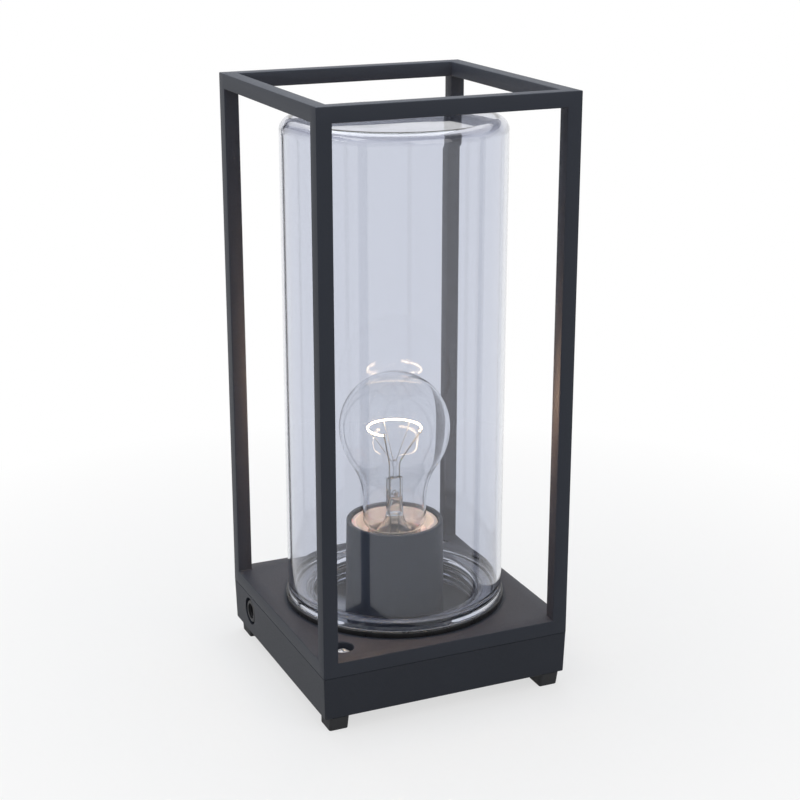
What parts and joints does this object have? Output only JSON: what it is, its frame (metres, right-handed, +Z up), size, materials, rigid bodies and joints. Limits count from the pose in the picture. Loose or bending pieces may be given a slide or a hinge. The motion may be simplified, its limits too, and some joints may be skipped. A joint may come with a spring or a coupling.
{
  "type": "outdoor table lamp",
  "caption": "Square cage table lantern: a clear glass jar screws down over a clear ring-filament bulb in a screw holder, on a shallow wiring tray with rubber feet and a cord gland.",
  "frame": {"origin": "on the table top, under the centre of the lamp, in the plane of the feet's undersides", "axes": "+Z up along the centre line of jar and bulb, -Y the front (the wide face in the picture), -X the left side, where the cord enters"},
  "size_m": [0.14, 0.14, 0.321],
  "materials": {
    "coated_metal": "matte",
    "black_plastic": "matte",
    "jar_glass": "polished",
    "bulb_glass": "polished",
    "seal_rubber": "matte",
    "foot_rubber": "matte",
    "porcelain": "gloss",
    "plated_brass": "satin",
    "cap_metal": "satin",
    "black_glass": "polished",
    "solder": "satin",
    "tungsten": "satin",
    "wire_metal": "satin",
    "screw_steel": "satin",
    "block_plastic": "satin",
    "brown_wire": "satin",
    "blue_wire": "satin",
    "green_wire": "satin"
  },
  "bodies": {
    "base": {"post_front_left": "coated_metal", "post_front_right": "coated_metal", "post_back_left": "coated_metal", "post_back_right": "coated_metal", "top_rail_front": "coated_metal", "top_rail_back": "coated_metal", "top_rail_left": "coated_metal", "top_rail_right": "coated_metal", "deck": "coated_metal", "post_screws": "screw_steel", "collar": "black_plastic", "collar_screws": "screw_steel", "holder_sleeve": "coated_metal", "holder_body": "porcelain", "screw_shell": "plated_brass", "centre_contact": "plated_brass", "holder_terminals": "plated_brass", "holder_screws": "screw_steel", "tray": "coated_metal", "tray_seal": "seal_rubber", "foot_front_left": "foot_rubber", "foot_front_right": "foot_rubber", "foot_back_left": "foot_rubber", "foot_back_right": "foot_rubber", "deck_screws": "screw_steel", "gland_body": "black_plastic", "gland_cap": "black_plastic", "gland_seal": "seal_rubber", "gland_nut": "black_plastic", "terminal_block": "block_plastic", "block_screws": "screw_steel", "terminal_screws": "screw_steel", "live_wire": "brown_wire", "neutral_wire": "blue_wire", "earth_lug": "plated_brass", "earth_wire": "green_wire", "earth_screw": "screw_steel"},
    "jar_seal": {"jar_gasket": "seal_rubber"},
    "jar": {"jar": "jar_glass"},
    "bulb_tip": {"cap_tip": "solder"},
    "bulb": {"bulb_glass": "bulb_glass", "bulb_cap": "cap_metal", "cap_insulator": "black_glass", "stem": "bulb_glass", "filament": "tungsten", "lead_wires": "wire_metal", "support_wires": "wire_metal"}
  },
  "joints": [
    {"name": "jar_lift", "type": "slide", "parent": "base", "child": "jar_seal", "axis": [0, 0, 1], "range_m": [0, 0.0106]},
    {"name": "jar_turn", "type": "hinge", "parent": "jar_seal", "child": "jar", "pos_m": [0, 0, 0.042], "axis": [0, 0, 1], "range_deg": [0, 1080]},
    {"name": "bulb_lift", "type": "slide", "parent": "base", "child": "bulb_tip", "axis": [0, 0, 1], "range_m": [0, 0.0182]},
    {"name": "bulb_turn", "type": "hinge", "parent": "bulb_tip", "child": "bulb", "pos_m": [0, 0, 0.056], "axis": [0, 0, 1], "range_deg": [0, 1800]}
  ],
  "couplings": [
    {"joint": "jar_lift", "follows": "jar_turn", "m_per_rad": 0.00055704},
    {"joint": "bulb_lift", "follows": "bulb_turn", "m_per_rad": 0.00057757}
  ]
}
